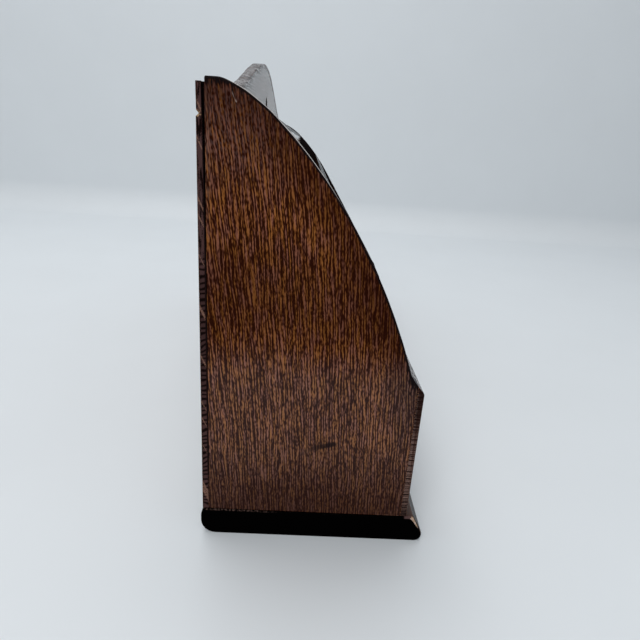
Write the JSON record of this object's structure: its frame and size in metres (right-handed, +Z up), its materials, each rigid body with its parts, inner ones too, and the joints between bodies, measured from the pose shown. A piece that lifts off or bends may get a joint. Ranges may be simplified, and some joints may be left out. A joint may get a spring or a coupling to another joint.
{
  "type": "letter holder",
  "caption": "Free-standing desk letter holder in stained oak with curved sides, an arched back with a hanging hole, a low bevelled front and stepped dividers on a dark base.",
  "frame": {"origin": "on the table, under the middle of the base board", "axes": "+X to the right along the width, -Y towards the low front, +Z up"},
  "size_m": [0.331, 0.0838, 0.1813],
  "materials": {
    "stained_oak": "brown stain under a worn satin varnish, open pores filled dark",
    "ebonised_base": "near-black stain, satin, with worn edges",
    "steel_fixings": "dull, darkened with age"
  },
  "bodies": {
    "root": {"base_board": "ebonised_base", "left_side": "stained_oak", "right_side": "stained_oak", "back_board": "stained_oak", "front_board": "stained_oak", "rear_divider": "stained_oak", "middle_divider": "stained_oak", "front_divider": "stained_oak", "back_pins": "steel_fixings", "front_pins": "steel_fixings", "base_screws": "steel_fixings"}
  },
  "joints": []
}
